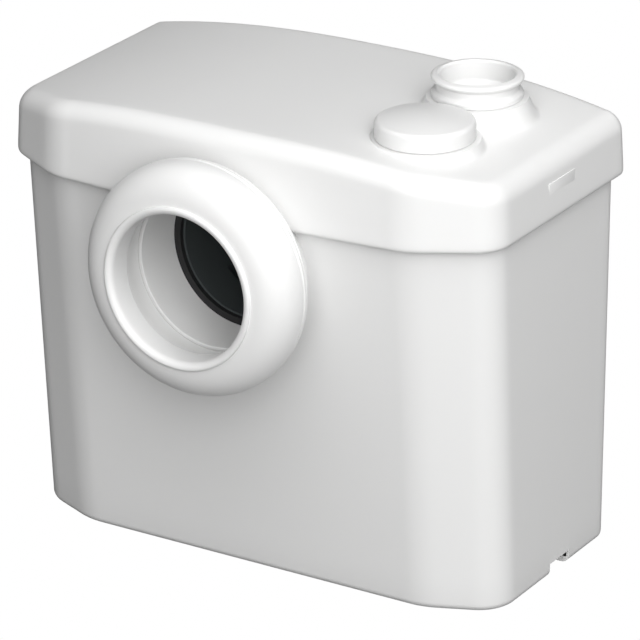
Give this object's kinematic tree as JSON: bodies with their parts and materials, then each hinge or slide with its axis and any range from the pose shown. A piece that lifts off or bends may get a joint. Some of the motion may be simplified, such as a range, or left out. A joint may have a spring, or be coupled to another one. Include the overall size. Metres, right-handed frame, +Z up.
{
  "type": "macerator pump",
  "caption": "Macerator pump for a toilet outlet: tank with bowed lid, bulbous pan inlet at the front, discharge collar and vent cap on top, grinder and motor pump inside.",
  "frame": {"origin": "centre of the case on the floor, midway along the lid's width and depth", "axes": "+X along the case towards the ports' end, -Y out of the pan inlet, +Z up"},
  "size_m": [0.33, 0.2319, 0.2998],
  "materials": {
    "white_plastic": "smooth, low gloss",
    "white_rubber": "smooth satin",
    "black_rubber": "matt",
    "dark_plastic": "matt moulded",
    "grey_plastic": "matt moulded",
    "steel": "turned and brushed",
    "core_iron": "stacked sheets",
    "copper": "lacquered wire",
    "can_metal": "drawn can",
    "seal_ceramic": "lapped"
  },
  "bodies": {
    "case": {"tank": "white_plastic", "lid_gasket": "black_rubber", "inlet_sleeve": "white_rubber", "inlet_seal_ring": "black_rubber", "basket_throat": "dark_plastic", "grinder_basket": "dark_plastic", "basket_end_plate": "dark_plastic", "basket_screws": "steel", "suction_cover": "dark_plastic", "pump_casing": "dark_plastic", "pump_screws": "steel", "seal_seat": "seal_ceramic", "motor_casing": "dark_plastic", "motor_end_bell": "dark_plastic", "motor_screws": "steel", "stator_core": "core_iron", "stator_windings": "copper", "bearing_outer_rings": "steel", "rubber_mounts": "black_rubber", "control_box": "grey_plastic", "control_box_cover": "grey_plastic", "control_box_screws": "steel", "capacitor": "can_metal", "terminal_block": "grey_plastic", "cable_gland": "black_rubber", "pressure_tube": "grey_plastic", "diaphragm": "black_rubber", "diaphragm_cover": "grey_plastic", "microswitch": "grey_plastic", "valve_body": "dark_plastic", "valve_cover": "dark_plastic", "valve_screws": "steel", "flap_pin": "steel", "discharge_elbow": "black_rubber", "elbow_clamps": "steel", "riser_pipe": "grey_plastic"},
    "rotor": {"motor_shaft": "steel", "rotor_core": "core_iron", "impeller": "dark_plastic", "cutter_blade": "steel", "blade_nut": "steel", "bearing_inner_rings": "steel", "seal_rotating_face": "seal_ceramic"},
    "ball_cages": {"bearing_cages": "grey_plastic", "bearing_balls": "steel"},
    "flap": {"valve_flap": "black_rubber"},
    "plunger": {"diaphragm_plunger": "grey_plastic"},
    "lever": {"microswitch_lever": "steel"},
    "button": {"microswitch_button": "grey_plastic"},
    "cover": {"lid": "white_plastic", "outlet_collar": "white_plastic", "outlet_seal": "black_rubber", "vent_filter": "grey_plastic"},
    "cap": {"vent_cap": "white_plastic"}
  },
  "joints": [
    {"name": "rotor_spin", "type": "hinge", "parent": "case", "child": "rotor", "pos_m": [0, 0, 0.112], "axis": [1, 0, 0], "continuous": true},
    {"name": "cage_spin", "type": "hinge", "parent": "case", "child": "ball_cages", "pos_m": [0, 0, 0.112], "axis": [1, 0, 0], "continuous": true},
    {"name": "flap_swing", "type": "hinge", "parent": "case", "child": "flap", "pos_m": [0.0666, 0.039, 0.1723], "axis": [-1, 0, 0], "range_deg": [0, 60]},
    {"name": "plunger_rise", "type": "slide", "parent": "case", "child": "plunger", "axis": [0, 0, 1], "range_m": [0, 0.002], "stiffness_N_per_m": 60, "springref_m": -0.0005},
    {"name": "lever_tilt", "type": "hinge", "parent": "case", "child": "lever", "pos_m": [-0.097, 0.02, 0.2166], "axis": [0, 1, 0], "range_deg": [0, 6]},
    {"name": "button_press", "type": "slide", "parent": "case", "child": "button", "axis": [0, 0, 1], "range_m": [0, 0.0009]},
    {"name": "cover_lift", "type": "slide", "parent": "case", "child": "cover", "axis": [0, 0, 1], "range_m": [0, 0.08]},
    {"name": "cap_pull", "type": "slide", "parent": "cover", "child": "cap", "axis": [0, 0, 1], "range_m": [0, 0.03]}
  ],
  "couplings": [
    {"joint": "cage_spin", "follows": "rotor_spin", "ratio": 0.382},
    {"joint": "lever_tilt", "follows": "plunger_rise", "rad_per_m": 50},
    {"joint": "button_press", "follows": "plunger_rise", "ratio": 0.4}
  ]
}
